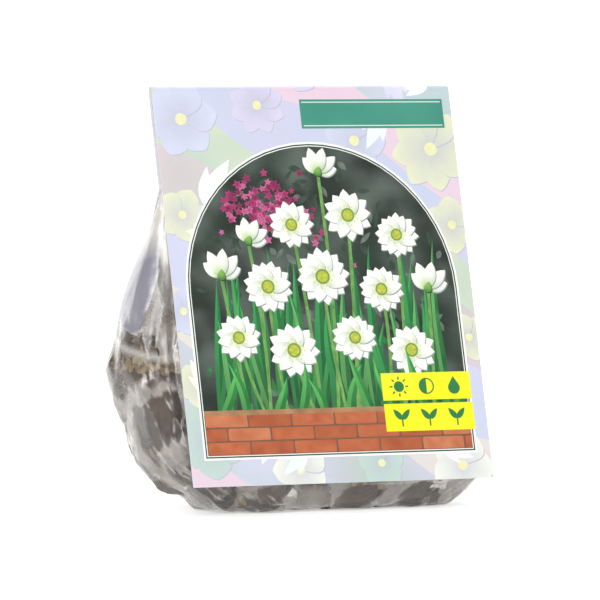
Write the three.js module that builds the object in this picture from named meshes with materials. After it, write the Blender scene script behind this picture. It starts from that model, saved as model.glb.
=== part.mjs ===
// A bag of flower bulbs: a clear film bag that hangs in a folded header card. It stands on its own
// flattened bottom and leans back. Millimetres, +Z up, front to -Y, origin at the base's centre.
import * as THREE from 'three';
import { ParametricGeometry } from 'three/addons/geometries/ParametricGeometry.js';
import { mergeVertices } from 'three/addons/utils/BufferGeometryUtils.js';

const { lerp, smoothstep, degToRad } = THREE.MathUtils;
const ROUNDING = 1e-6;
const SAME_CORNER = 1e-4; // corners closer than this are one

// The header card: one sheet, folded over the mouth of the bag.
const CARD_WIDTH = 140;
const CARD_HEIGHT = 175;
const CARD_THICKNESS = 0.4;
const BACK_PANEL_LENGTH = 110;
const CARD_LEAN = degToRad(17);
const CARD_LIFT = 13; // the front panel's bottom edge above the surface

// The film bag. Its real film is 0.05 mm thick, drawn thicker here so that it is a sound solid.
const FILM_THICKNESS = 0.3;
const MOUTH_HEIGHT = 152; // heights go up along the card, from its bottom edge
const CLAMP_HEIGHT = 130; // below this line the two film walls part
const BELLY_HEIGHT = 58;
const BAG_BOTTOM = -17; // before the surface flattens it
const MOUTH_HALF_WIDTH = 69;
const BELLY_HALF_WIDTH = 80;
const MOUTH_GAP = 0.6;
const BELLY_DEPTH = 51;
const SIDE_SHIFT = 7; // how far the filled part has slid to the left
const SLUMP = 0.2; // share of the depth that the emptier right side lacks
const RIGHT_LIFT = 9; // the right side's bottom above the surface

// Powers that set how square the bag's plan is (1 would be round), and how its bottom closes.
const MOUTH_CORNER = 0.3;
const BELLY_CORNER = 0.55;
const FRONT_CORNER = 0.4;
const BOTTOM_CLOSING = 0.8;
const LEFT_CLOSING = 1.1;
const RIGHT_CLOSING = 0.25;

// Two lines of hot-melt glue hold the film to the card.
const GLUE_WIDTH = 8;
const GLUE_LENGTH = 120;
const GLUE_THICKNESS = 0.4;
const GLUE_HEIGHT = 138;
const SEAT_GAP = 0.3; // between pieces that touch
const FOLD_STEPS = 8;
const BACK_PANEL_STEP = 6;

// The bulbs: 5 to 6 cm round.
const BULB_COUNT = 25;
const BULB_DIAMETER = [17, 20];
const BULB_LENGTH = [28, 33];

// Depths behind the card's front face where the bag hangs between the panels.
const GLUE_FRONT = CARD_THICKNESS + SEAT_GAP;
const FILM_FRONT = GLUE_FRONT + GLUE_THICKNESS + SEAT_GAP;
const FILM_BACK = FILM_FRONT + 2 * FILM_THICKNESS + MOUTH_GAP;
const GLUE_BACK = FILM_BACK + SEAT_GAP;
const BACK_PANEL = GLUE_BACK + GLUE_THICKNESS + SEAT_GAP;

const cardStock = new THREE.MeshStandardMaterial({ name: 'coated card', color: 0xd6d8e8, roughness: 0.35 });
const clearFilm = new THREE.MeshStandardMaterial({
  name: 'clear film',
  color: 0xd9d5cc,
  roughness: 0.15,
  transparent: true,
  opacity: 0.35,
});
const hotMelt = new THREE.MeshStandardMaterial({ name: 'hot-melt glue', color: 0xe6dcb8, roughness: 0.5 });
const bulbTunic = new THREE.MeshStandardMaterial({ name: 'bulb tunic', color: 0x8a6f5c, roughness: 0.7 });

// Places are set out on the card: across it, behind its front face, and up along it.
// This turns such a place into one above the level surface.
function leaned(across, depth, up) {
  const y = depth * Math.cos(CARD_LEAN) + up * Math.sin(CARD_LEAN);
  const z = CARD_LIFT - depth * Math.sin(CARD_LEAN) + up * Math.cos(CARD_LEAN);
  return new THREE.Vector3(across, y, z);
}

function namedMesh(name, geometry, material) {
  const mesh = new THREE.Mesh(geometry, material);
  mesh.name = name;
  return mesh;
}

// Leaves only the places of a geometry's corners, each corner once, as a solid needs.
function closed(geometry) {
  geometry.deleteAttribute('normal');
  geometry.deleteAttribute('uv');
  const merged = mergeVertices(geometry, SAME_CORNER);
  merged.computeVertexNormals();
  return merged;
}

// Draws an outline of depth and height on the card's side and carries it across the card.
function acrossCard(outline, width) {
  const geometry = new THREE.ExtrudeGeometry(outline, { depth: width, bevelEnabled: false });
  geometry.translate(0, 0, -width / 2);
  const sideToCard = new THREE.Matrix4().makeBasis(
    new THREE.Vector3(0, 1, 0),
    new THREE.Vector3(0, 0, 1),
    new THREE.Vector3(1, 0, 0),
  );
  return closed(geometry.applyMatrix4(sideToCard));
}

// ---- The film bag's form ----

// 0 at the clamp line, 1 at the belly and below it.
function belowClamp(up) {
  const share = (CLAMP_HEIGHT - up) / (CLAMP_HEIGHT - BELLY_HEIGHT);
  return Math.min(1, Math.max(0, share));
}

// The back wall's depth at the fuller left side.
const DEPTH_SWELL = 1.5;
function bagDepth(up) {
  return lerp(BELLY_DEPTH, FILM_BACK, (1 - belowClamp(up)) ** DEPTH_SWELL);
}

const WIDTH_SWELL = 1.1;
function bagHalfWidth(up) {
  return lerp(BELLY_HALF_WIDTH, MOUTH_HALF_WIDTH, (1 - belowClamp(up)) ** WIDTH_SWELL);
}

const signedPower = (value, power) => Math.sign(value) * Math.abs(value) ** power;

// A point of the bag's wall: turn goes once round it, rise from its bottom's pole (0) to its mouth (1),
// and inset is how far inside its outer face the point lies.
const BELLY_RISE = 0.5;
const CLAMP_RISE = 0.875;
const SLUMP_FROM = -28; // places across the card
const LIFT_FROM = -14;
const RIGHT_END = 70;
const SLUMP_REACH = 30; // below the clamp line
const LIFT_TOP = 40;
function bagPoint(turn, rise, inset) {
  const tilt = Math.min(1, rise / BELLY_RISE) * (Math.PI / 2);
  const closing = Math.sin(tilt) ** BOTTOM_CLOSING;
  let up = lerp(BELLY_HEIGHT, BAG_BOTTOM + inset, Math.cos(tilt) ** BOTTOM_CLOSING);
  if (rise > CLAMP_RISE) up = lerp(CLAMP_HEIGHT, MOUTH_HEIGHT, (rise - CLAMP_RISE) / (1 - CLAMP_RISE));
  else if (rise > BELLY_RISE) {
    up = lerp(BELLY_HEIGHT, CLAMP_HEIGHT, (rise - BELLY_RISE) / (CLAMP_RISE - BELLY_RISE));
  }

  const full = smoothstep(belowClamp(up), 0, 1);
  const corner = lerp(MOUTH_CORNER, BELLY_CORNER, full);
  const front = FILM_FRONT + inset;
  const back = bagDepth(up) - inset;
  const waist = lerp(front, back, 0.5);

  const angle = (turn % 1) * 2 * Math.PI;
  const left = Math.cos(angle);
  const rear = -Math.sin(angle);
  const sideClosing = closing ** lerp(RIGHT_CLOSING, LEFT_CLOSING, (left + 1) / 2);
  const halfWidth = (bagHalfWidth(up) - inset) * sideClosing;
  const across = -halfWidth * signedPower(left, corner) - SIDE_SHIFT * full * closing;
  const emptier = smoothstep(across, SLUMP_FROM, RIGHT_END);
  const slump = 1 - SLUMP * emptier * smoothstep(CLAMP_HEIGHT - up, 0, SLUMP_REACH);
  const depth = rear > 0
    ? lerp(waist, back, closing * signedPower(rear, corner) * slump)
    : lerp(waist, front, closing * signedPower(-rear, FRONT_CORNER));
  const lift = RIGHT_LIFT * smoothstep(across, LIFT_FROM, RIGHT_END);

  const point = leaned(across, depth, up + lift * (1 - smoothstep(up, BAG_BOTTOM, LIFT_TOP)));
  point.z = Math.max(point.z, inset);
  return point;
}

// The wall's outer face goes up from the pole to the mouth, and its inner face comes down again.
const BAG_ROUND_STEPS = 56;
const BAG_RISE_STEPS = 24;
function filmBag() {
  const rows = 2 * BAG_RISE_STEPS + 1;
  const wall = (turn, v, target) => {
    const row = Math.round(v * rows);
    const outside = row <= BAG_RISE_STEPS;
    const rise = (outside ? row : rows - row) / BAG_RISE_STEPS;
    target.copy(bagPoint(turn, rise, outside ? 0 : FILM_THICKNESS));
  };
  return closed(new ParametricGeometry(wall, BAG_ROUND_STEPS, rows));
}

// ---- The card and its glue ----

// The middle of the card's thickness, seen from the side: up the front, over the fold, down to the
// clamp line and on down the bag's back.
function cardPath() {
  const foldRadius = (BACK_PANEL + CARD_THICKNESS) / 2 - CARD_THICKNESS / 2;
  const middle = CARD_THICKNESS / 2;
  const path = [new THREE.Vector2(middle, 0)];
  for (let i = 0; i <= FOLD_STEPS; i += 1) {
    const angle = Math.PI * (1 - i / FOLD_STEPS);
    path.push(new THREE.Vector2(
      middle + foldRadius * (1 + Math.cos(angle)),
      CARD_HEIGHT - foldRadius - middle + foldRadius * Math.sin(angle),
    ));
  }
  let up = CLAMP_HEIGHT;
  let length = CARD_HEIGHT - CLAMP_HEIGHT;
  const restDepth = (height) => bagDepth(height) - FILM_BACK + BACK_PANEL + middle;
  path.push(new THREE.Vector2(restDepth(up), up));
  while (length < BACK_PANEL_LENGTH) {
    const slope = restDepth(up - 1) - restDepth(up);
    const drop = Math.min(BACK_PANEL_STEP, BACK_PANEL_LENGTH - length) / Math.hypot(1, slope);
    length += drop * Math.hypot(1, slope) + ROUNDING;
    up -= drop;
    path.push(new THREE.Vector2(restDepth(up), up));
  }
  return path;
}

// The outline of a sheet of even thickness along a path.
function sheetOutline(path, thickness) {
  const sides = [1, -1].map((side) => path.map((point, i) => {
    const before = path[Math.max(0, i - 1)];
    const after = path[Math.min(path.length - 1, i + 1)];
    const along = after.clone().sub(before).normalize();
    return point.clone().add(new THREE.Vector2(-along.y, along.x).multiplyScalar((side * thickness) / 2));
  }));
  return new THREE.Shape([...sides[0], ...sides[1].reverse()]);
}

function glueLine(depth) {
  const outline = new THREE.Shape([
    new THREE.Vector2(depth, GLUE_HEIGHT),
    new THREE.Vector2(depth + GLUE_THICKNESS, GLUE_HEIGHT),
    new THREE.Vector2(depth + GLUE_THICKNESS, GLUE_HEIGHT + GLUE_WIDTH),
    new THREE.Vector2(depth, GLUE_HEIGHT + GLUE_WIDTH),
  ]);
  return acrossCard(outline, GLUE_LENGTH);
}

// ---- The bulbs ----

// A bulb's radius along its axis, as a share of its largest: a flat root plate, a round body that is
// widest below its middle, and a dry neck.
const BULB_PROFILE = [
  [0, 0.3],
  [0.05, 0.56],
  [0.14, 0.82],
  [0.27, 0.98],
  [0.4, 1],
  [0.54, 0.88],
  [0.68, 0.64],
  [0.8, 0.39],
  [0.9, 0.24],
  [1, 0.16],
];

function bulbRadius(share) {
  const next = Math.max(1, BULB_PROFILE.findIndex(([along]) => along >= share));
  const [a, b] = [BULB_PROFILE[next - 1], BULB_PROFILE[next]];
  return lerp(a[1], b[1], (share - a[0]) / (b[0] - a[0]));
}

const BULB_SIDES = 14;
function bulbGeometry(diameter, length) {
  const across = diameter / 2;
  const profile = BULB_PROFILE.map(([along, radius]) => new THREE.Vector2(radius * across, along * length));
  const ends = [new THREE.Vector2(0, 0), ...profile, new THREE.Vector2(0, length)];
  return closed(new THREE.LatheGeometry(ends, BULB_SIDES));
}

// A small random source with a seed, so that the bulbs always lie the same way.
const RANDOM_FACTOR = 16807;
const RANDOM_MODULUS = 2147483647;
function seededRandom(seed) {
  let state = seed;
  return (low, high) => {
    state = (state * RANDOM_FACTOR) % RANDOM_MODULUS;
    return lerp(low, high, state / RANDOM_MODULUS);
  };
}

// Each bulb is packed as a row of balls between its base and its neck.
const BALLS_PER_BULB = 6;
const FIRST_BALL = 0.24; // shares of the bulb's length
const LAST_BALL = 0.96;
const PACK_GAP = 0.3;
const WALL_GAP = 0.7;
const NEAR_WALL = 15;
const BALL_EXTRA = 0.05; // covers the bulb's surface between two balls

// The bulbs start in columns across the bag, two bulbs deep, filled from the bottom up.
const COLUMNS = 5;
const COLUMN_ENDS = [-58, 40];
const ROW_DEPTHS = [15, 33];
const FIRST_LAYER = 10;
const LAYER_RISE = 17;
const SCATTER = { across: 4, depth: 3, up: 3 };
function looseBulb(random, index) {
  const diameter = random(...BULB_DIAMETER);
  const length = random(...BULB_LENGTH);
  const balls = [];
  for (let i = 0; i < BALLS_PER_BULB; i += 1) {
    const place = i / (BALLS_PER_BULB - 1);
    const share = lerp(FIRST_BALL, LAST_BALL, place);
    const radius = (bulbRadius(share) * diameter) / 2 + BALL_EXTRA;
    balls.push({ place, radius, centre: new THREE.Vector3() });
  }
  const column = index % COLUMNS;
  const layer = Math.floor(index / COLUMNS);
  const start = leaned(
    lerp(...COLUMN_ENDS, column / (COLUMNS - 1)) + random(-SCATTER.across, SCATTER.across),
    ROW_DEPTHS[layer % 2] + random(-SCATTER.depth, SCATTER.depth),
    FIRST_LAYER + LAYER_RISE * layer + random(-SCATTER.up, SCATTER.up),
  );
  const axis = new THREE.Vector3(random(-1, 1), random(-0.7, 0.7), random(-0.6, 0.9)).normalize();
  const reach = (length * (LAST_BALL - FIRST_BALL)) / 2;
  return {
    diameter,
    length,
    balls,
    reach,
    base: start.clone().addScaledVector(axis, -reach),
    neck: start.clone().addScaledVector(axis, reach),
  };
}

// Moves one ball of a bulb, and with it the nearer of the bulb's two ends the more.
function nudge(bulb, ball, move) {
  const ease = 1 / ((1 - ball.place) ** 2 + ball.place ** 2);
  bulb.base.addScaledVector(move, (1 - ball.place) * ease);
  bulb.neck.addScaledVector(move, ball.place * ease);
  placeBalls(bulb);
}

function placeBalls(bulb) {
  for (const ball of bulb.balls) ball.centre.lerpVectors(bulb.base, bulb.neck, ball.place);
}

// Parts two bulbs where their balls cross the deepest.
function keepApart(bulb, other) {
  let deepest = 0;
  let crossing = null;
  for (const a of bulb.balls) {
    for (const b of other.balls) {
      const overlap = a.radius + b.radius + PACK_GAP - a.centre.distanceTo(b.centre);
      if (overlap > deepest) {
        deepest = overlap;
        crossing = [a, b];
      }
    }
  }
  if (!crossing) return;
  const away = crossing[0].centre.clone().sub(crossing[1].centre).setLength(deepest / 2);
  nudge(bulb, crossing[0], away);
  nudge(other, crossing[1], away.negate());
}

// Moves a bulb in where one of its balls crosses the wall's nearby planes the furthest.
function keepInside(bulb, wall) {
  let most = 0;
  let move = null;
  const fromWall = new THREE.Vector3();
  for (const ball of bulb.balls) {
    for (const spot of wall) {
      fromWall.subVectors(ball.centre, spot.place);
      if (fromWall.lengthSq() > NEAR_WALL ** 2) continue;
      const lack = ball.radius + FILM_THICKNESS + WALL_GAP - fromWall.dot(spot.inward);
      if (lack > most) {
        most = lack;
        move = [ball, spot.inward];
      }
    }
  }
  if (move) nudge(bulb, move[0], move[1].clone().multiplyScalar(most));
}

function keepLength(bulb) {
  const middle = bulb.base.clone().add(bulb.neck).multiplyScalar(0.5);
  const axis = bulb.neck.clone().sub(bulb.base).setLength(bulb.reach);
  bulb.base.copy(middle).sub(axis);
  bulb.neck.copy(middle).add(axis);
}

// The places and inward directions of the bag's outer face.
const WALL_ROUND_SPOTS = 84;
const WALL_RISE_SPOTS = 40;
function wallSpots() {
  const outerFace = (turn, rise, target) => target.copy(bagPoint(turn, rise, 0));
  const face = closed(new ParametricGeometry(outerFace, WALL_ROUND_SPOTS, WALL_RISE_SPOTS));
  const place = face.getAttribute('position');
  const outward = face.getAttribute('normal');
  const spots = [];
  for (let i = 0; i < place.count; i += 1) {
    spots.push({
      place: new THREE.Vector3().fromBufferAttribute(place, i),
      inward: new THREE.Vector3().fromBufferAttribute(outward, i).negate(),
    });
  }
  return spots;
}

// Lets the bulbs sink down and to the left until they lie on each other and on the film.
const SETTLING_STEPS = 1600;
const SLOWEST = 0.18;
const SINKING = new THREE.Vector3(-0.15, 0, -0.27);
const SETTLING_SEED = 20;
function settledBulbs() {
  const random = seededRandom(SETTLING_SEED);
  const bulbs = [];
  for (let i = 0; i < BULB_COUNT; i += 1) bulbs.push(looseBulb(random, i));
  const wall = wallSpots();
  for (let step = 0; step < SETTLING_STEPS; step += 1) {
    const haste = Math.max(SLOWEST, 1 - step / SETTLING_STEPS);
    for (const bulb of bulbs) {
      bulb.base.addScaledVector(SINKING, haste);
      bulb.neck.addScaledVector(SINKING, haste);
    }
    bulbs.forEach(placeBalls);
    for (let i = 0; i < bulbs.length; i += 1) {
      for (let j = i + 1; j < bulbs.length; j += 1) keepApart(bulbs[i], bulbs[j]);
    }
    for (const bulb of bulbs) {
      keepLength(bulb);
      keepInside(bulb, wall);
    }
  }
  return bulbs;
}

function bulbMesh(bulb, index) {
  const name = `bulb_${String(index + 1).padStart(2, '0')}`;
  const mesh = namedMesh(name, bulbGeometry(bulb.diameter, bulb.length), bulbTunic);
  const axis = bulb.neck.clone().sub(bulb.base).normalize();
  mesh.quaternion.setFromUnitVectors(new THREE.Vector3(0, 1, 0), axis);
  mesh.position.copy(bulb.base).addScaledVector(axis, -FIRST_BALL * bulb.length);
  return mesh;
}

// ---- The whole ----

const onCard = new THREE.Group();
onCard.rotation.x = -CARD_LEAN;
onCard.position.z = CARD_LIFT;
onCard.add(
  namedMesh('header_card', acrossCard(sheetOutline(cardPath(), CARD_THICKNESS), CARD_WIDTH), cardStock),
  namedMesh('glue_line_front', glueLine(GLUE_FRONT), hotMelt),
  namedMesh('glue_line_back', glueLine(GLUE_BACK), hotMelt),
);

const model = new THREE.Group();
model.add(onCard, namedMesh('film_bag', filmBag(), clearFilm), ...settledBulbs().map(bulbMesh));

// The origin is the middle of the base.
const bounds = new THREE.Box3().setFromObject(model, true);
const middle = bounds.getCenter(new THREE.Vector3());
model.position.set(-middle.x, -middle.y, 0);

export default model;
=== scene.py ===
# Looks of a bag of flower bulbs: clear crinkled film behind a folded, printed header card.
import math
import random

from collections import namedtuple

import bmesh
import bpy
import numpy as np
from mathutils import Matrix, Vector, geometry, noise
from mathutils.bvhtree import BVHTree


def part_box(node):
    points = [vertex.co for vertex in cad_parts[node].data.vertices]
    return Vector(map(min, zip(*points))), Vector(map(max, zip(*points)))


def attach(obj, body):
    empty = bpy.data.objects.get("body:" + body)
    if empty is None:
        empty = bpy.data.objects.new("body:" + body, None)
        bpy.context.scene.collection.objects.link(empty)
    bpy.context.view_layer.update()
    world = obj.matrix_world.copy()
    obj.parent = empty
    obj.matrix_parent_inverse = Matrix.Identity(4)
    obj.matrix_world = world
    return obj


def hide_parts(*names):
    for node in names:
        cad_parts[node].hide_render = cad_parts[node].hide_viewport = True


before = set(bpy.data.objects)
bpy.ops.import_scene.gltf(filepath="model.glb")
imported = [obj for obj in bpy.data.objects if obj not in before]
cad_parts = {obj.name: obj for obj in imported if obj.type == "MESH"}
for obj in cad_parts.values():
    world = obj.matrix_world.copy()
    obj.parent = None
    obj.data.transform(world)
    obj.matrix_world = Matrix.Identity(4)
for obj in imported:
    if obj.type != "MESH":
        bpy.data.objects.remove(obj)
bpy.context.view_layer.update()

MM = 0.001
BULB_NODES = [f"bulb_{number:02d}" for number in range(1, 26)]

# The card's own sizes, in millimetres, as in the part's source.
CARD_WIDTH = 140
CARD_HEIGHT = 175
CARD_THICKNESS = 0.4
CARD_LEAN = math.radians(17)
BACK_PANEL_LENGTH = 110
BACK_PANEL_DEPTH = 3.6
CLAMP_HEIGHT = 130
BELLY_HEIGHT = 58
BELLY_DEPTH = 51
MOUTH_DEPTH = 2.6

CARD_LOW, CARD_HIGH = (Vector(corner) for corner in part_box("header_card"))
CARD_FOOT = Vector((
    (CARD_LOW.x + CARD_HIGH.x) / 2,
    CARD_LOW.y,
    CARD_LOW.z + CARD_THICKNESS * MM * math.sin(CARD_LEAN),
))
UP_CARD = Vector((0, math.sin(CARD_LEAN), math.cos(CARD_LEAN)))
INTO_CARD = Vector((0, math.cos(CARD_LEAN), -math.sin(CARD_LEAN)))


def on_card(across, depth, up):
    """The place across the card, behind its front face and up along it, all in millimetres."""
    return CARD_FOOT + (Vector((across, 0, 0)) + INTO_CARD * depth + UP_CARD * up) * MM


# ---- Materials ----

def linear(hex_colour):
    """A hex sRGB colour as linear red, green, blue and alpha."""
    parts = [int(hex_colour[i:i + 2], 16) / 255 for i in (1, 3, 5)]
    return tuple(c / 12.92 if c <= 0.04045 else ((c + 0.055) / 1.055) ** 2.4 for c in parts) + (1.0,)


def node(tree, kind, settings=None, **links):
    """Adds a node. settings go to its own properties and sockets, links to what feeds its inputs.
    A link called _2 feeds the third input."""
    new = tree.nodes.new(kind)
    for name, value in (settings or {}).items():
        if isinstance(name, str) and hasattr(new, name):
            setattr(new, name, value)
        else:
            new.inputs[name].default_value = value
    for name, source in links.items():
        socket = new.inputs[int(name[1:])] if name[1:].isdigit() else new.inputs[name.replace("_", " ")]
        tree.links.new(source, socket)
    return new


def from_to(low, high, to_low=0.0, to_high=1.0):
    """The settings that map low..high to another range."""
    return {"From Min": low, "From Max": high, "To Min": to_low, "To Max": to_high}


def set_tones(ramp, *tones):
    """Sets the two stops of a colour ramp, each a position and a hex colour."""
    for stop, (position, colour) in zip(ramp.color_ramp.elements, tones):
        stop.position, stop.color = position, linear(colour)


def new_material(name):
    material = bpy.data.materials.new(name)
    material.use_nodes = True
    material.node_tree.nodes.clear()
    return material, material.node_tree


def finished(material, shader):
    """Shows a shader on the material's surface, and gives the material."""
    node(material.node_tree, "ShaderNodeOutputMaterial", _0=shader.outputs[0])
    return material


def coated_print():
    """Offset print on coated card: the ink's colours lie in the mesh, under a thin gloss coat."""
    material, tree = new_material("coated_card_print")
    inks = node(tree, "ShaderNodeVertexColor", {"layer_name": "Ink"}).outputs["Color"]
    place = node(tree, "ShaderNodeTexCoord").outputs["Object"]
    # A press leaves slight clouds of heavier ink, about 9 mm across.
    clouds = node(tree, "ShaderNodeTexNoise", {"Scale": 110, "Detail": 3}, Vector=place).outputs["Fac"]
    shade = node(tree, "ShaderNodeMapRange", from_to(0, 1, 0.965, 1), Value=clouds).outputs[0]
    inked = node(tree, "ShaderNodeVectorMath", {"operation": "SCALE"}, _0=inks, Scale=shade).outputs[0]
    # The board's fibres make the gloss uneven, drawn at 0.6 mm.
    fibres = node(tree, "ShaderNodeTexNoise", {"Scale": 1600, "Detail": 2}, Vector=place).outputs["Fac"]
    gloss = node(tree, "ShaderNodeMapRange", from_to(0, 1, 0.28, 0.4), Value=fibres).outputs[0]
    bump = node(tree, "ShaderNodeBump", {"Strength": 0.03, "Distance": 0.0001}, Height=fibres).outputs[0]
    links = {"Base_Color": inked, "Roughness": gloss, "Normal": bump}
    return finished(material, node(tree, "ShaderNodeBsdfPrincipled", {"IOR": 1.5}, **links))


def bare_board():
    """Uncoated white board: the card's inner side and its cut edges."""
    material, tree = new_material("uncoated_white_board")
    place = node(tree, "ShaderNodeTexCoord").outputs["Object"]
    # Tufts of fibre, about 1.5 mm.
    fibres = node(tree, "ShaderNodeTexNoise", {"Scale": 700, "Detail": 5}, Vector=place).outputs["Fac"]
    tone = node(tree, "ShaderNodeValToRGB", Fac=fibres)
    set_tones(tone, (0, "#d6d5dc"), (1, "#e9e8ef"))
    bump = node(tree, "ShaderNodeBump", {"Strength": 0.15, "Distance": 0.0001}, Height=fibres).outputs[0]
    board = {"Roughness": 0.8, "IOR": 1.45}
    surface = node(tree, "ShaderNodeBsdfPrincipled", board, Base_Color=tone.outputs[0], Normal=bump)
    return finished(material, surface)


def papery_tunic(name, dark, pale, seed):
    """A bulb's dry outer skin: thin brown paper with veins from base to neck, dull, darker in patches."""
    material, tree = new_material(name)
    # Skin holds the way round the bulb as x and y, and the way from base to neck as z, so that
    # stretched noise makes veins, about 30 of them round the bulb.
    skin = node(tree, "ShaderNodeAttribute", {"attribute_name": "Skin"}).outputs["Vector"]
    stretch = {"Location": (seed, 0, 0), "Scale": (5, 5, 1.3)}
    stretched = node(tree, "ShaderNodeMapping", stretch, Vector=skin).outputs[0]
    veins = node(tree, "ShaderNodeTexNoise", {"Scale": 1.0, "Detail": 4}, Vector=stretched).outputs["Fac"]
    # Darker patches, about 7 mm across.
    place = node(tree, "ShaderNodeTexCoord").outputs["Object"]
    patches = node(tree, "ShaderNodeTexNoise", {"Scale": 140, "Detail": 4}, Vector=place).outputs["Fac"]
    both = node(tree, "ShaderNodeMath", {"operation": "MULTIPLY_ADD", 1: 0.8}, _0=veins, _2=patches).outputs[0]
    tone = node(tree, "ShaderNodeValToRGB", Fac=both)
    set_tones(tone, (0.62, dark), (1, pale))
    bump = node(tree, "ShaderNodeBump", {"Strength": 0.5, "Distance": 0.0004}, Height=veins).outputs[0]
    paper = {"Roughness": 0.62, "IOR": 1.45, "Sheen Weight": 0.15}
    surface = node(tree, "ShaderNodeBsdfPrincipled", paper, Base_Color=tone.outputs[0], Normal=bump)
    return finished(material, surface)


def clear_film():
    """Clear polypropylene film, about 0.05 mm thick, much handled. It is see-through where it lies on
    a bulb, and milky where it stands off and where it lies double near the card. Along creases it is
    painted near white, partly the film's whitening and partly painted highlight. Over the end of the
    back panel it is painted grey lavender, which is painted shade of the board behind it. A lighter
    patch on the front of the underside is painted reflection."""
    material, tree = new_material("clear_polypropylene_film")
    place = node(tree, "ShaderNodeTexCoord").outputs["Object"]
    # Lie holds how closely the film lies on a bulb, from 0 to 1, and in millimetres the way into the
    # flat side panel and the way to the nearest crease.
    lie = node(tree, "ShaderNodeAttribute", {"attribute_name": "Lie"}).outputs["Vector"]
    on_bulb, into_panel, to_crease = node(tree, "ShaderNodeSeparateXYZ", _0=lie).outputs
    # Milk holds how milky the film is. In one patch on the front of the underside, that milkiness is painted
    # reflection.
    milk = node(tree, "ShaderNodeAttribute", {"attribute_name": "Milk"}).outputs["Fac"]
    # Milkiness from handling, in clouds about 15 mm across. Near-white patches of about 7 mm along the creases
    # are partly the folded film's whitening and partly painted highlight.
    grain = {"Scale": 65, "Detail": 5, "Roughness": 0.65}
    clouds = node(tree, "ShaderNodeTexNoise", grain, Vector=place).outputs["Fac"]
    crease_patch_noise = node(tree, "ShaderNodeTexNoise", {"Scale": 150, "Detail": 3}, Vector=place).outputs["Fac"]
    clouded = node(tree, "ShaderNodeMapRange", from_to(0.35, 0.7, 0.33, 0.68), Value=clouds).outputs[0]
    off_bulb = node(tree, "ShaderNodeMapRange", from_to(0.2, 0.8, 1, 0.16), Value=on_bulb).outputs[0]
    flat = node(tree, "ShaderNodeMapRange", from_to(-0.3, 0.3), Value=into_panel).outputs[0]
    creased = node(tree, "ShaderNodeMapRange", from_to(0.1, 1.1, 1, 0), Value=to_crease).outputs[0]
    painted_sheen_patches = node(tree, "ShaderNodeMapRange", from_to(0.4, 0.66), Value=crease_patch_noise).outputs[0]
    product = {"operation": "MULTIPLY", "use_clamp": True}
    white = node(tree, "ShaderNodeMath", product, _0=creased, _1=painted_sheen_patches).outputs[0]
    haze = node(tree, "ShaderNodeMath", {"operation": "MULTIPLY"}, _0=clouded, _1=off_bulb).outputs[0]
    for share, most in ((milk, 0.85), (flat, 0.8), (white, 0.46)):
        least = node(tree, "ShaderNodeMath", {"operation": "MULTIPLY", 1: most}, _0=share).outputs[0]
        haze = node(tree, "ShaderNodeMath", {"operation": "MAXIMUM"}, _0=haze, _1=least).outputs[0]
    tones = {"data_type": "RGBA", 6: linear("#b7b0a8"), 7: linear("#d6d2ca")}
    tone = node(tree, "ShaderNodeMix", tones, _0=milk).outputs[2]
    # Over the flat side panel the tone turns grey lavender. This is painted shade that stands for the back
    # panel's board in shade behind the film. Along creases the tone turns near white, partly the folded film's
    # whitening and partly painted highlight.
    for share, colour in ((flat, "#8c8b97"), (white, "#e9e6e1")):
        tones = {"data_type": "RGBA", 7: linear(colour)}
        tone = node(tree, "ShaderNodeMix", tones, _0=share, _6=tone).outputs[2]
    # Creases of about 4 mm that are too fine for the mesh.
    cells = node(tree, "ShaderNodeTexVoronoi", {"Scale": 260, "feature": "F1"}, Vector=place)
    dents = {"Strength": 0.12, "Distance": 0.0008}
    bump = node(tree, "ShaderNodeBump", dents, Height=cells.outputs["Distance"]).outputs[0]
    through = node(tree, "ShaderNodeBsdfTransparent", {"Color": linear("#f2f0ec")}).outputs[0]
    plastic = {"Roughness": 0.35, "IOR": 1.5}
    body = node(tree, "ShaderNodeBsdfPrincipled", plastic, Base_Color=tone, Normal=bump).outputs[0]
    hazy = node(tree, "ShaderNodeMixShader", _0=haze, _1=through, _2=body).outputs[0]
    shine = {"Color": (1, 1, 1, 1), "Roughness": 0.2}
    glint = node(tree, "ShaderNodeBsdfAnisotropic", shine, Normal=bump).outputs[0]
    # Both faces of the film reflect, so it gives more than one face would.
    one_face = node(tree, "ShaderNodeFresnel", {"IOR": 1.5}, Normal=bump).outputs[0]
    both_faces = node(tree, "ShaderNodeMath", {**product, 1: 1.4}, _0=one_face).outputs[0]
    return finished(material, node(tree, "ShaderNodeMixShader", _0=both_faces, _1=hazy, _2=glint))


def dry_skin():
    """Torn papery skins and wood shavings: pale beige to brown, matt, each flake a shade of its own."""
    material, tree = new_material("dry_skin_and_shavings")
    place = node(tree, "ShaderNodeTexCoord").outputs["Object"]
    # Patches of about 4 mm, so that neighbouring flakes differ, over fibres of about 0.5 mm.
    patches = node(tree, "ShaderNodeTexNoise", {"Scale": 260, "Detail": 2}, Vector=place).outputs["Fac"]
    fibres = node(tree, "ShaderNodeTexNoise", {"Scale": 1900, "Detail": 2}, Vector=place).outputs["Fac"]
    tone = node(tree, "ShaderNodeValToRGB", Fac=patches)
    set_tones(tone, (0.34, "#7a5e43"), (0.62, "#d6c39c"))
    bump = node(tree, "ShaderNodeBump", {"Strength": 0.4, "Distance": 0.0001}, Height=fibres).outputs[0]
    links = {"Base_Color": tone.outputs[0], "Normal": bump}
    return finished(material, node(tree, "ShaderNodeBsdfPrincipled", {"Roughness": 0.75}, **links))


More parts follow.
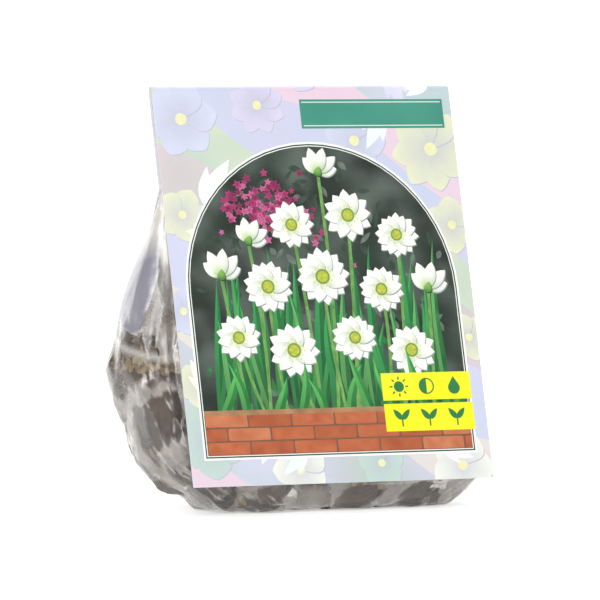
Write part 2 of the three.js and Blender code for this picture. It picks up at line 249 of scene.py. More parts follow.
def hot_melt():
    """Set hot-melt glue: waxy, cream-coloured, clouded where it cooled fast."""
    material, tree = new_material("hot_melt_glue")
    place = node(tree, "ShaderNodeTexCoord").outputs["Object"]
    # Clouds of about 5 mm, ripples of about 1.5 mm.
    clouds = node(tree, "ShaderNodeTexNoise", {"Scale": 200, "Detail": 2}, Vector=place).outputs["Fac"]
    ripples = node(tree, "ShaderNodeTexNoise", {"Scale": 650, "Detail": 1}, Vector=place).outputs["Fac"]
    clouded = node(tree, "ShaderNodeMapRange", from_to(0.35, 0.65), Value=clouds).outputs[0]
    tones = {"data_type": "RGBA", 6: linear("#d9cba0"), 7: linear("#ece4c8")}
    tone = node(tree, "ShaderNodeMix", tones, _0=clouded).outputs[2]
    rough = node(tree, "ShaderNodeMapRange", from_to(0.3, 0.7, 0.35, 0.55), Value=ripples).outputs[0]
    bump = node(tree, "ShaderNodeBump", {"Strength": 0.3, "Distance": 0.0002}, Height=ripples).outputs[0]
    wax = {"IOR": 1.48, "Subsurface Weight": 0.2, "Subsurface Scale": 0.001}
    links = {"Base_Color": tone, "Roughness": rough, "Normal": bump}
    return finished(material, node(tree, "ShaderNodeBsdfPrincipled", wax, **links))


PRINT = coated_print()
BOARD = bare_board()
FILM = clear_film()
SCRAP = dry_skin()
GLUE = hot_melt()
TUNICS = [
    papery_tunic("tunic_umber", "#2b211b", "#5f4d3f", 3),
    papery_tunic("tunic_hazel", "#33271f", "#6e5a47", 11),
    papery_tunic("tunic_grey_brown", "#2c2723", "#655c54", 23),
]


# ---- Helpers for pieces ----

def mesh_object(name, vertices, faces, materials, edges=()):
    """A new piece of the scene, from its points and faces."""
    mesh = bpy.data.meshes.new(name)
    mesh.from_pydata(vertices, edges, faces)
    mesh.update()
    for material in materials:
        mesh.materials.append(material)
    piece = bpy.data.objects.new(name, mesh)
    bpy.context.scene.collection.objects.link(piece)
    return piece


def put_in_order(piece):
    """Sorts a mesh's points by place and its faces by their points. Operators leave them in an order
    that changes from run to run, which would lay the creases elsewhere each time."""
    mesh = piece.data
    points = [tuple(v.co) for v in mesh.vertices]
    order = sorted(range(len(points)), key=points.__getitem__)
    rank = {old: new for new, old in enumerate(order)}
    faces = []
    for face in mesh.polygons:
        corners = [rank[i] for i in face.vertices]
        first = corners.index(min(corners))
        faces.append(corners[first:] + corners[:first])
    piece.data = bpy.data.meshes.new(piece.name)
    piece.data.from_pydata([points[i] for i in order], [], sorted(faces))
    for material in mesh.materials:
        piece.data.materials.append(material)
    bpy.data.meshes.remove(mesh)


def only(piece):
    bpy.ops.object.select_all(action="DESELECT")
    piece.select_set(True)
    bpy.context.view_layer.objects.active = piece


def apply_modifier(piece, kind, **settings):
    only(piece)
    modifier = piece.modifiers.new(kind.title(), kind)
    for name, value in settings.items():
        setattr(modifier, name, value)
    bpy.ops.object.modifier_apply(modifier=modifier.name)


# ---- The card's print ----

# A motif is an outline on the flat sheet and a paint that gives its colour at each place.
# Places are millimetres across the sheet and up it: 0 to 175 is the front panel, then comes the back.
Motif = namedtuple("Motif", "outline paint")
SHEET_LENGTH = CARD_HEIGHT + BACK_PANEL_LENGTH


def ink(hex_colour):
    return Vector(linear(hex_colour)[:3])


def clamp(value):
    return min(1.0, max(0.0, value))


def ease(value):
    value = clamp(value)
    return value * value * (3 - 2 * value)


def cloudy(x, y, grain, seed=0.0):
    """Soft noise around 0.5, with clouds about grain millimetres across."""
    return 0.5 + 0.6 * noise.noise(Vector((x / grain, y / grain, seed)))


def wash(dark, pale, grain, seed=0.0):
    """A paint that drifts between two colours."""
    low, high = ink(dark), ink(pale)
    return lambda x, y: low.lerp(high, clamp(cloudy(x, y, grain, seed)))


def plain(hex_colour):
    """A paint of one colour."""
    colour = ink(hex_colour)
    return lambda x, y: colour


def along_curve(a, bend, b, t):
    """A point of the arc from a to b whose middle is pulled to bend."""
    return a.lerp(bend, t).lerp(bend.lerp(b, t), t)


def towards(turn):
    """The unit step at an angle."""
    return Vector((math.cos(turn), math.sin(turn)))


def along_and_across(turn):
    """The unit step at an angle, and the one square to it, on its left."""
    along = towards(turn)
    return along, Vector((-along.y, along.x))


def disc(centre, radius, sides):
    turns = [2 * math.pi * i / sides for i in range(sides)]
    return [centre + Vector((radius * math.cos(t), radius * math.sin(t))) for t in turns]


def box_outline(x0, y0, x1, y1):
    """A box's corners, from its lower left and upper right ones."""
    return [Vector((x0, y0)), Vector((x1, y0)), Vector((x1, y1)), Vector((x0, y1))]


def rounded_box(x0, y0, x1, y1, radius, steps=5):
    left, right, low, high = x0 + radius, x1 - radius, y0 + radius, y1 - radius
    points = []
    for x, y, first in ((right, high, 0), (left, high, 90), (left, low, 180), (right, low, 270)):
        for i in range(steps + 1):
            points.append(Vector((x, y)) + radius * towards(math.radians(first + 90 * i / steps)))
    return points


def petal(root, turn, length, width, hex_root, hex_tip, hex_shade, fullness=0.75):
    """A petal's motifs: a thin dark edge that parts it from what is under it, then the petal."""
    along, across = along_and_across(turn)
    steps = 7
    right, left = [], []
    for i in range(1, steps):
        t = i / steps
        half = width / 2 * math.sin(math.pi * t ** fullness) ** 0.75
        right.append(root + along * (length * t) - across * half)
        left.append(root + along * (length * t) + across * half)
    outline = [root, *right, root + along * length, *reversed(left)]
    low, high, shade = ink(hex_root), ink(hex_tip), ink(hex_shade)

    def paint(x, y):
        place = Vector((x, y)) - root
        reach = clamp(place.dot(along) / length)
        side = place.dot(across) / (width / 2)
        colour = low.lerp(high, ease(reach * 1.7))
        colour = colour.lerp(shade, 0.5 * clamp(-side) + 0.25 * clamp(1 - abs(side) * 5) * (1 - reach))
        return colour * (0.97 + 0.06 * cloudy(x, y, 2.5))

    edge = [p + Vector((0.35, -0.45)) for p in outline]
    return [Motif(edge, lambda x, y: shade * 0.62), Motif(outline, paint)]


def blade(root, tip, bend, width, dark, pale):
    """A long leaf in two halves, one lighter than the other, that meet at its midrib."""
    middle = root.lerp(tip, 0.5) + Vector((bend, 0))
    steps = 9
    spine, right, left = [], [], []
    for i in range(steps + 1):
        t = i / steps
        point = along_curve(root, middle, tip, t)
        before = along_curve(root, middle, tip, max(0, t - 0.02))
        ahead = along_curve(root, middle, tip, min(1, t + 0.02)) - before
        across = Vector((-ahead.y, ahead.x)).normalized()
        half = width / 2 * (0.35 + 0.65 * math.sin(math.pi * min(1, 0.15 + t * 0.85))) * (1 - t ** 5)
        spine.append(point)
        right.append(point - across * half)
        left.append(point + across * half)
    low, high = min(root.y, tip.y), max(root.y, tip.y)

    def half_paint(colour, other):
        def paint(x, y):
            return colour.lerp(other, 0.35 * cloudy(x, y, 5)) * (0.6 + 0.5 * ease((y - low) / (high - low + 1)))
        return paint

    darker, paler = ink(dark), ink(pale)
    return [
        Motif([*spine, *reversed(right[:-1])], half_paint(darker, paler)),
        Motif([*spine, *reversed(left[:-1])], half_paint(paler, darker)),
    ]


def stem(root, tip, bend, width):
    """A flower's bent stalk."""
    middle = root.lerp(tip, 0.5) + Vector((bend, 0))
    steps = 8
    right, left = [], []
    for i in range(steps + 1):
        point = along_curve(root, middle, tip, i / steps)
        right.append(point + Vector((width / 2, 0)))
        left.append(point - Vector((width / 2, 0)))
    dark, pale = ink("#2c6b33"), ink("#8fbf6a")
    return Motif([*right, *reversed(left)], lambda x, y: dark.lerp(pale, cloudy(x * 6, y, 3)))


def open_flower(centre, size, petals, turn):
    """A white flower seen from the front, with a yellow-green eye in a ring of small anthers."""
    motifs = []
    for ring, reach in ((0.5, 1.0), (0.0, 0.94)):
        for i in range(petals):
            angle = turn + 2 * math.pi * (i + ring) / petals
            reach_here = size / 2 * reach * (0.92 + 0.16 * cloudy(i * 3.1 + centre.x, centre.y, 2))
            motifs += petal(centre, angle, reach_here, size * 0.3, "#c3d89c", "#f8faf0", "#b9c4c2")
    eye = size * 0.1
    motifs.append(Motif(disc(centre, eye * 1.35, 16), plain("#7c9a3a")))
    motifs.append(Motif(disc(centre, eye, 14), wash("#8aa632", "#d9d65a", 1.2)))
    anthers = 14
    for i in range(anthers):
        place = centre + towards(2 * math.pi * i / anthers + turn) * eye * (1.75 + 0.3 * (i % 2))
        motifs.append(Motif(disc(place, size * 0.014, 5), plain("#e6c53a")))
    return motifs


def side_flower(centre, size, turn):
    """A white flower seen from the side: its petals fan out of a green calyx."""
    motifs = []
    for spread in (-62, 62, -34, 34, 0):
        angle = turn + math.radians(spread)
        length = size * (0.62 if abs(spread) < 50 else 0.5)
        motifs += petal(centre, angle, length, size * 0.3, "#b9d08f", "#f6f8ee", "#b4c0bd", 0.9)
    calyx = centre - towards(turn) * size * 0.1
    return motifs + petal(calyx, turn, size * 0.26, size * 0.2, "#3d7d36", "#86b659", "#2f5f2c", 0.6)


def blossom(centre, size, turn, dark, pale):
    """A small blossom with five blunt lobes."""
    outline = []
    for i in range(15):
        angle = turn + 2 * math.pi * i / 15
        outline.append(centre + towards(angle) * size / 2 * (0.72 + 0.28 * math.cos(5 * (angle - turn))))
    low, high = ink(dark), ink(pale)
    return Motif(outline, lambda x, y: low.lerp(high, clamp((Vector((x, y)) - centre).length / (size / 2))))


# The window: an arch-topped picture that fills most of the front.
WINDOW_SIDE = 62
WINDOW_FOOT = 13
WINDOW_SHOULDER = 84
ARCH_RISE = 1.03
WALL_TOP = 31
BRICK_PITCH = 20
MORTAR = 0.4
NIGHT, HAZE, MOSS = ink("#1f211f"), ink("#66706a"), ink("#33483a")

# The flowers in it: across, up, size, and 1 for one that is seen from the side.
WINDOW_FLOWERS = [
    (-42, 64, 21, 0), (-17, 58, 24, 0), (12, 63, 21, 0), (38, 57, 23, 0),
    (-47, 91, 17, 1), (-26, 86, 23, 0), (0, 90, 25, 0), (27, 84, 21, 0), (49, 84, 17, 1),
    (-12, 113, 21, 0), (15, 117, 23, 0), (37, 108, 20, 0), (-33, 106, 15, 1), (3, 136, 16, 1),
]


def arch(grow):
    """The window's outline, moved outwards by grow."""
    side, foot = WINDOW_SIDE + grow, WINDOW_FOOT - grow
    points = [Vector((-side, foot)), Vector((side, foot)), Vector((side, WINDOW_SHOULDER))]
    steps = 28
    for i in range(1, steps):
        turn = math.pi * i / steps
        points.append(Vector((side * math.cos(turn), WINDOW_SHOULDER + (side * ARCH_RISE) * math.sin(turn))))
    return [*points, Vector((-side, WINDOW_SHOULDER))]


def in_arch(point, margin):
    if abs(point.x) > WINDOW_SIDE - margin or point.y < WINDOW_FOOT + margin:
        return False
    above = point.y - WINDOW_SHOULDER
    return above < 0 or math.hypot(point.x, above / ARCH_RISE) < WINDOW_SIDE - margin


# Large faint blooms: across, up and size. The window covers the middle ones in part.
PALE_BLOOMS = [
    (-58, 160, 34), (-22, 166, 26), (22, 150, 30), (58, 146, 38), (-62, 118, 24), (64, 112, 26),
    (-66, 76, 22), (66, 62, 22), (-60, 20, 34), (-20, 6, 26), (18, 8, 22), (56, 6, 30), (-63, 44, 20),
    (-50, 192, 30), (4, 188, 34), (54, 196, 28),
]


def pale_bloom(centre, size, petals, turn, tone):
    """A faint bloom of the border."""
    motifs = []
    pale, edge = ink(tone), ink("#b9bccb")
    for i in range(petals):
        along, across = along_and_across(turn + 2 * math.pi * i / petals)
        widest = size * 0.86 / petals ** 0.8
        right, left = ([
            centre + along * (size / 2 * t) + across * s * widest * math.sin(math.pi * t ** 1.3) ** 0.8
            for t in (0.15, 0.3, 0.45, 0.6, 0.75, 0.88, 0.96)
        ] for s in (-1, 1))
        outline = [centre, *right, centre + along * size / 2, *reversed(left)]

        def paint(x, y, along=along, across=across):
            place = Vector((x, y)) - centre
            reach = place.dot(along) / (size / 2)
            fold = clamp(1 - abs(place.dot(across)) / (0.12 * size))
            cloud = 0.2 * (cloudy(x, y, 5) - 0.5)
            return pale.lerp(edge, clamp(0.55 * (1 - reach) + 0.18 * fold * (1 - reach) + cloud))

        motifs.append(Motif([p + Vector((0.3, -0.4)) for p in outline], lambda x, y: edge))
        motifs.append(Motif(outline, paint))
    motifs.append(Motif(disc(centre, size * 0.08, 12), wash("#dfe0a8", "#f0edc4", 2)))
    return motifs


def three_leaves(root, turn, length, tone):
    """Faint leaves that fan out of one root. A leaf that would cross the sheet's edge is left out."""
    low, high = ink(tone), ink("#ffffff")
    steps = 6
    motifs = []
    for side in (-0.42, 0.42, 0):
        along, across = along_and_across(turn + side)
        reach = length * (1 - 0.3 * abs(side) / 0.42)
        left, right = ([
            root + along * reach * i / steps
            + across * s * reach * 0.17 * math.sin(math.pi * (i / steps) ** 0.8)
            for i in range(1, steps)
        ] for s in (1, -1))
        outline = [root, *left, root + along * reach, *reversed(right)]
        if all(abs(p.x) < CARD_WIDTH / 2 - 0.5 and 0.5 < p.y < SHEET_LENGTH - 0.5 for p in outline):
            motifs.append(Motif(outline, lambda x, y: low.lerp(high, 0.5 * cloudy(x, y, 8))))
    return motifs


def pastel_ground():
    """Wavy bands of soft colour that cross the whole sheet, then faint blooms and leaves over them."""
    motifs = []
    tones = ["#cdcde3", "#e2d2dd", "#d5d3ea", "#b8c6b7", "#dce0c6", "#c5cfe4", "#e5c9da", "#aecabf"]
    band, rise = 27, -0.55
    columns = [-70 + 5 * i for i in range(29)]

    def wave(x, level):
        height = level + rise * x + 5 * math.sin(x / 17 + level / 23)
        return Vector((x, min(SHEET_LENGTH, max(0, height))))

    for row in range(-3, 14):
        low, high = row * band, (row + 1) * band
        edge = [wave(x, low) for x in columns] + [wave(x, high) for x in reversed(columns)]
        if max(p.y for p in edge) - min(p.y for p in edge) < 1:
            continue
        tone, other = tones[row % len(tones)], tones[(row + 3) % len(tones)]
        motifs.append(Motif(edge, wash(tone, other, 30, row)))
    draw = random.Random(5)
    for x, y, size in PALE_BLOOMS:
        tone = draw.choice(["#eef0e6", "#e3e6c6", "#ecd6e4", "#c0d5cb", "#d2d7ec", "#d8d2ea"])
        motifs += pale_bloom(Vector((x, y)), size, draw.choice([5, 6, 8]), draw.uniform(0, 3), tone)
    for _ in range(46):
        root = Vector((draw.uniform(-66, 66), draw.uniform(4, SHEET_LENGTH - 8)))
        turn = draw.uniform(0, 2 * math.pi)
        length = draw.uniform(14, 26)
        tone = draw.choice(["#f4f3fa", "#eef0d5", "#f6e6f0", "#b8d3ca", "#dfe9ef", "#c9c9e4"])
        motifs += three_leaves(root, turn, length, tone)
    return motifs


def leaf_spot(point, length, width, turn, dark, pale):
    """A small leaf of the blurred garden."""
    along, across = along_and_across(turn)
    left, right = ([
        point + along * length * (i / 4 - 0.5) + across * s * width / 2 * math.sin(math.pi * i / 4)
        for i in range(1, 4)
    ] for s in (1, -1))
    outline = [point - along * length / 2, *left, point + along * length / 2, *reversed(right)]
    return Motif(outline, wash(dark, pale, 2.5, point.x))


def dusk(x, y):
    """The blurred garden behind the flowers."""
    cloud = clamp(cloudy(x, y, 15, 2) + 0.25 * (cloudy(x, y, 6, 5) - 0.5))
    colour = NIGHT.lerp(HAZE, ease(cloud * 1.25 - 0.25))
    return colour.lerp(MOSS, clamp(1.2 * cloudy(x, y, 22, 9) - 0.2) * 0.7)


def brick_wall(draw):
    """A low wall of terracotta bricks with a coping, which closes the picture at the bottom."""
    foot, side = WINDOW_FOOT + 0.2, WINDOW_SIDE - 0.2
    motifs = [Motif(box_outline(-side, foot, side, WALL_TOP), wash("#6b4a3c", "#8a6450", 3))]
    course = (WALL_TOP - foot) / 3
    for row in range(3):
        base = foot + row * course
        x = -side - (BRICK_PITCH / 2 if row % 2 else 0)
        while x < side:
            left, right = max(-side, x + MORTAR), min(side, x + (BRICK_PITCH - MORTAR))
            if right - left > 1.5:
                tones = draw.choice([("#a9522f", "#c9764f"), ("#9d4c2d", "#bd6a45"), ("#b5603c", "#d0875f")])
                brick = rounded_box(left, base + 0.35, right, base + course - 0.35, 0.7, 2)
                motifs.append(Motif(brick, wash(*tones, 4, x)))
            x += BRICK_PITCH
    coping = box_outline(-side, WALL_TOP - 0.6, side, WALL_TOP + 1.6)
    return [*motifs, Motif(coping, wash("#b98b63", "#8f6d4f", 5))]


def window_picture():
    """The arched picture: a white rim, then dusk, leaves, a pink tree, flowers and the wall."""
    draw = random.Random(12)
    motifs = [Motif(arch(1.7), plain("#f7f8f4")), Motif(arch(0.8), plain("#23402f"))]
    motifs += [Motif(arch(0.2), plain("#f2f4ee")), Motif(arch(-0.2), dusk)]
    for _ in range(230):
        point = Vector((draw.uniform(-60, 60), draw.uniform(WALL_TOP, 140)))
        if not in_arch(point, 4):
            continue
        dark, pale = ("#1d5c34", "#3d9a50") if point.y < 62 else ("#27352b", "#47594b")
        if draw.random() < 0.25:
            dark, pale = "#3c4a44", "#7c8a80"
        length, width, turn = draw.uniform(4, 8), draw.uniform(1.6, 3.2), draw.uniform(0, math.pi)
        motifs.append(leaf_spot(point, length, width, turn, dark, pale))
    for _ in range(150):
        spread = draw.gauss(0, 1)
        point = Vector((-27 + 13 * spread, 122 - 0.35 * 13 * spread + draw.gauss(0, 8)))
        if in_arch(point, 4):
            tones = draw.choice([("#7b1c4b", "#c5487f"), ("#9a2c63", "#e07fae"), ("#5f1c3c", "#a83a6d")])
            motifs.append(blossom(point, draw.uniform(2.6, 4.6), draw.uniform(0, 3), *tones))

    roots = [Vector((x, WALL_TOP - 3 + draw.uniform(-1, 3))) for x in range(-54, 58, 6)]
    for root in roots:
        for _ in range(2):
            tip = root + Vector((draw.uniform(-13, 13), draw.uniform(38, 82)))
            if not in_arch(tip, 2):
                tip = Vector((tip.x * 0.8, 90))
            pale = draw.choice(["#4ba35a", "#3f9a58", "#6cb468"])
            motifs += blade(root, tip, draw.uniform(-7, 7), draw.uniform(3.4, 5.6), "#1c6a38", pale)

    for x, y, _, _ in WINDOW_FLOWERS:
        root = Vector((x * 0.85 + draw.uniform(-5, 5), WALL_TOP - 2))
        motifs.append(stem(root, Vector((x, y)), draw.uniform(-4, 4), 1.5))
    for x, y, size, sideways in sorted(WINDOW_FLOWERS, key=lambda flower: -flower[1]):
        if sideways:
            motifs += side_flower(Vector((x, y)), size * 1.15, math.radians(draw.uniform(60, 120)))
        else:
            motifs += open_flower(Vector((x, y)), size, draw.choice([6, 7, 8]), draw.uniform(0, 1))
    for root in roots[::2]:
        tip = root + Vector((draw.uniform(-12, 12), draw.uniform(16, 30)))
        motifs += blade(root + Vector((0, -1)), tip, draw.uniform(-5, 5), 4.2, "#1f7a3c", "#63bb63")
    return motifs + brick_wall(draw)


def plain_panels():
    """The green banner and the yellow panels, with nothing written on them."""
    yellow = wash("#f3ee12", "#f7f233", 20)
    leaf_green = "#2f7d45"
    sign = plain(leaf_green)
    motifs = [
        Motif(box_outline(-2, 155.5, 66, 168.5), wash("#3d8a76", "#4b9a87", 20)),
        Motif(box_outline(-1, 156.5, 65, 157.0), plain("#cfe3d6")),
        Motif(box_outline(-1, 167.0, 65, 167.5), plain("#cfe3d6")),
        Motif(box_outline(22, 35, 64, 47), yellow),
        Motif(box_outline(22, 21.5, 64, 33.5), yellow),
    ]
    # Plain garden signs: a sun, a half-shaded disc, a drop; and below them three sprouts.
    sun = Vector((30, 41))
    motifs.append(Motif(disc(sun, 2.4, 18), sign))
    for i in range(8):
        along, across = along_and_across(math.pi * i / 4)
        wide = across * 0.35
        near, far = sun + along * 3, sun + along * 4.4
        motifs.append(Motif([near - wide, far - wide, far + wide, near + wide], sign))
    half = Vector((43, 41))
    motifs.append(Motif(disc(half, 3.6, 22), sign))
    motifs.append(Motif([p for p in disc(half, 3.0, 20) if p.x >= half.x - 0.01], yellow))
    drop = Vector((56, 40))
    round_part = [drop + 2.8 * towards(math.radians(150 + 20 * i)) for i in range(13)]
    motifs.append(Motif([drop + Vector((0, 5)), *round_part], sign))
    for x in (30, 43, 56):
        motifs.append(Motif(box_outline(x - 0.35, 23.5, x + 0.35, 28.5), sign))
        for turn in (50, 130):
            _, leaflet = petal(Vector((x, 26.5)), math.radians(turn), 6, 2.6, *[leaf_green] * 3)
            motifs.append(leaflet)
    return motifs


def back_picture():
    """The back panel, upright for someone behind it: a pale notice with a planting picture, no words."""
    motifs = [
        Motif(rounded_box(-60, 12, 60, 66, 4), plain("#3d8a76")),
        Motif(rounded_box(-59, 13, 59, 65, 3.4), wash("#f3f4ee", "#fbfbf6", 25)),
        Motif(box_outline(-59, 76, 59, 86), wash("#3d8a76", "#4b9a87", 20)),
    ]
    clods = [Vector((-6 - 4 * i, 40 + 1.2 * math.sin(i * 1.3))) for i in range(1, 12)]
    soil = [Vector((-54, 17)), Vector((-6, 17)), Vector((-6, 40)), *clods, Vector((-54, 40))]
    motifs.append(Motif(soil, wash("#5e4433", "#846349", 2.2)))
    rising, falling = [i / 10 for i in range(11)], [1 - i / 10 for i in range(1, 10)]
    for x, size in ((-45, 6), (-30, 6.4), (-15, 5.8)):
        centre = Vector((x, 25))
        bulb = [
            centre + Vector((size * 0.62 * math.sin(math.pi * t) ** 0.8 * s, size * 1.5 * (t - 0.35)))
            for s, shares in ((1, rising), (-1, falling)) for t in shares
        ]
        motifs.append(Motif(bulb, wash("#c09a72", "#e0c39c", 2)))
        for lean, height, bend in ((-3, 30, -2), (3, 31, 2)):
            tip = centre + Vector((lean, height))
            motifs += blade(centre + Vector((0, size)), tip, bend, 2, "#2c7a3c", "#6bb75f")
        motifs += open_flower(centre + Vector((0, 32)), 8, 6, x)
    # A year as twelve plain boxes: yellow to flower and green to plant, and pink for the first bloom.
    upper = {**dict.fromkeys((1, 2, 3), "#efe63a"), **dict.fromkeys((8, 9, 10), "#4b9a87")}
    lower = dict.fromkeys((1, 2), "#b86a8e")
    for i in range(12):
        x = 2 + 4.6 * i
        motifs.append(Motif(box_outline(x, 48, x + 3.8, 56), plain(upper.get(i, "#e9eae2"))))
        motifs.append(Motif(box_outline(x, 36, x + 3.8, 44), plain(lower.get(i, "#e9eae2"))))

    def turned(motif):
        outline = [Vector((-p.x, SHEET_LENGTH - p.y)) for p in motif.outline]
        return Motif(outline, lambda x, y: motif.paint(-x, SHEET_LENGTH - y))

    return [turned(motif) for motif in motifs]


# The fold and the bend at the clamp line need cross lines in the sheet.
FOLD_RADIUS = 2.0
FOLD_START = CARD_HEIGHT - FOLD_RADIUS
FOLD_END = CARD_HEIGHT + FOLD_RADIUS
FOLD_LINES = 12
BACK_LINE_STEP = 3.25
GRID_STEP = 3.0


def covers(outline, x, y):
    """Whether an outline has the place x, y inside it."""
    inside = False
    ahead = outline[-1]
    for corner in outline:
        if (corner.y > y) != (ahead.y > y):
            if x < corner.x + (y - corner.y) / (ahead.y - corner.y) * (ahead.x - corner.x):
                inside = not inside
        ahead = corner
    return inside


def flat_sheet():
    """The flat sheet cut into triangles along every motif's outline: its points, its triangles and
    for each triangle the motif that lies on top there."""
    half = CARD_WIDTH / 2
    motifs = [Motif(box_outline(-half, 0, half, SHEET_LENGTH), wash("#d2d2e4", "#dedcea", 30))]
    motifs += pastel_ground() + window_picture() + plain_panels() + back_picture()
    points, edges, faces = [], [], []
    for motif in motifs:
        outline = [Vector((min(half, max(-half, p.x)), min(SHEET_LENGTH, max(0, p.y)))) for p in motif.outline]
        if sum(a.cross(b) for a, b in zip(outline, [*outline[1:], outline[0]])) < 0:
            outline.reverse()
        faces.append(list(range(len(points), len(points) + len(outline))))
        points += outline
    lines = [FOLD_START + (FOLD_END - FOLD_START) * i / FOLD_LINES for i in range(FOLD_LINES + 1)]
    bent = SHEET_LENGTH - CLAMP_TO_END
    while bent < SHEET_LENGTH - 1:
        lines.append(bent)
        bent += BACK_LINE_STEP
    for line in lines:
        edges.append((len(points), len(points) + 1))
        points += [Vector((-half, line)), Vector((half, line))]
    for i in range(1, int(CARD_WIDTH / GRID_STEP)):
        for j in range(1, int(SHEET_LENGTH / GRID_STEP)):
            shift = GRID_STEP / 2 if j % 2 else 0
            points.append(Vector((min(half - 0.5, -half + i * GRID_STEP + shift), j * GRID_STEP)))
    flat, _, triangles, _, _, owners = geometry.delaunay_2d_cdt(points, edges, faces, 0, 1e-4, True)
    tops = []
    for (a, b, c), owner in zip(triangles, owners):
        middle = (flat[a] + flat[b] + flat[c]) / 3
        over = (motifs[i] for i in sorted(owner, reverse=True) if covers(motifs[i].outline, *middle))
        tops.append(next(over, motifs[0]))
    return flat, triangles, tops


# ---- The header card ----

def bag_depth(up):
    """The bag's back, behind the card's front face, at a height up the card."""
    share = clamp((CLAMP_HEIGHT - up) / (CLAMP_HEIGHT - BELLY_HEIGHT))
    return MOUTH_DEPTH + (BELLY_DEPTH - MOUTH_DEPTH) * (1 - (1 - share) ** 1.5)


CLAMP_TO_END = BACK_PANEL_LENGTH - (CARD_HEIGHT - CLAMP_HEIGHT)


def back_path():
    """Depth and height of the back panel's outer face, each 0.5 mm down from the clamp line."""
    step = 0.5
    up, path = CLAMP_HEIGHT, []
    for _ in range(int(CLAMP_TO_END / step) + 2):
        slope = bag_depth(up - 0.5) - bag_depth(up + 0.5)
        across = Vector((1, slope)).normalized()
        middle = bag_depth(up) - MOUTH_DEPTH + BACK_PANEL_DEPTH + CARD_THICKNESS / 2
        path.append(Vector((middle + across.x * CARD_THICKNESS / 2, up + across.y * CARD_THICKNESS / 2)))
        up -= step / math.hypot(1, slope)
    return path


BACK_PATH = back_path()


def folded(x, s):
    """Where a point of the flat sheet lies on the folded card."""
    if s <= FOLD_START:
        return on_card(x, 0, s)
    if s < FOLD_END:
        turn = math.pi * (s - FOLD_START) / (FOLD_END - FOLD_START)
        return on_card(x, FOLD_RADIUS * (1 - math.cos(turn)), FOLD_START + FOLD_RADIUS * math.sin(turn))
    bend = SHEET_LENGTH - CLAMP_TO_END
    if s <= bend:
        down = (s - FOLD_END) / (bend - FOLD_END)
        return on_card(x, 2 * FOLD_RADIUS, FOLD_START + (CLAMP_HEIGHT - FOLD_START) * down)
    place = (s - bend) * 2
    index = min(len(BACK_PATH) - 2, int(place))
    point = BACK_PATH[index].lerp(BACK_PATH[index + 1], place - index)
    return on_card(x, point.x, point.y)


def printed_card():
    """The cut sheet, folded, with its paints' colours at each triangle's corners."""
    flat, triangles, owners = flat_sheet()
    faces = [list(t) for t in triangles]
    card = mesh_object("printed_header_card", [folded(p.x, p.y) for p in flat], faces, [PRINT, BOARD])
    colours = card.data.color_attributes.new("Ink", "FLOAT_COLOR", "CORNER")
    values = []
    for triangle, motif in zip(faces, owners):
        for corner in triangle:
            colour = motif.paint(flat[corner].x, flat[corner].y)
            values += [colour.x, colour.y, colour.z, 1.0]
    colours.data.foreach_set("color", values)
    return card


# ---- The bulbs ----

# Radius along the axis, as shares of the largest radius and of the length, as in the part's source,
# with a rounder shoulder and a drawn-out, broken neck.
BULB_PROFILE = [
    (0, 0.3), (0.03, 0.46), (0.09, 0.7), (0.17, 0.88), (0.27, 0.98), (0.36, 1), (0.46, 0.96),
    (0.56, 0.85), (0.66, 0.68), (0.75, 0.49), (0.83, 0.34), (0.9, 0.24), (0.96, 0.18), (1, 0.12),
]
SPIN_STEPS = 40


def bulb_radius(share):
    """The radius at a share of the axis, as a share of the largest one."""
    for (low, a), (high, b) in zip(BULB_PROFILE, BULB_PROFILE[1:]):
        if share <= high:
            straight = (b - a) * 0.5 * (share - low) / (high - low)
            return a + (b - a) * ease((share - low) / (high - low)) * 0.5 + straight
    return BULB_PROFILE[-1][1]


def measured_axis(name):
    """A CAD bulb's base, neck and largest radius, from its mesh: it is a body of revolution."""
    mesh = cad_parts[name].data
    points = np.unique(np.round(np.array([v.co for v in mesh.vertices], float), 6), axis=0)
    middle = points.mean(0)
    axis = np.linalg.svd(points - middle)[2][0]
    along = (points - middle) @ axis
    apart = np.linalg.norm(points - middle - np.outer(along, axis), axis=1)
    length = along.max() - along.min()
    near = length * 0.12
    if apart[along > along.max() - near].mean() > apart[along < along.min() + near].mean():
        axis, along = -axis, -along
    return Vector(middle + axis * along.min()), Vector(middle + axis * along.max()), float(apart.max())


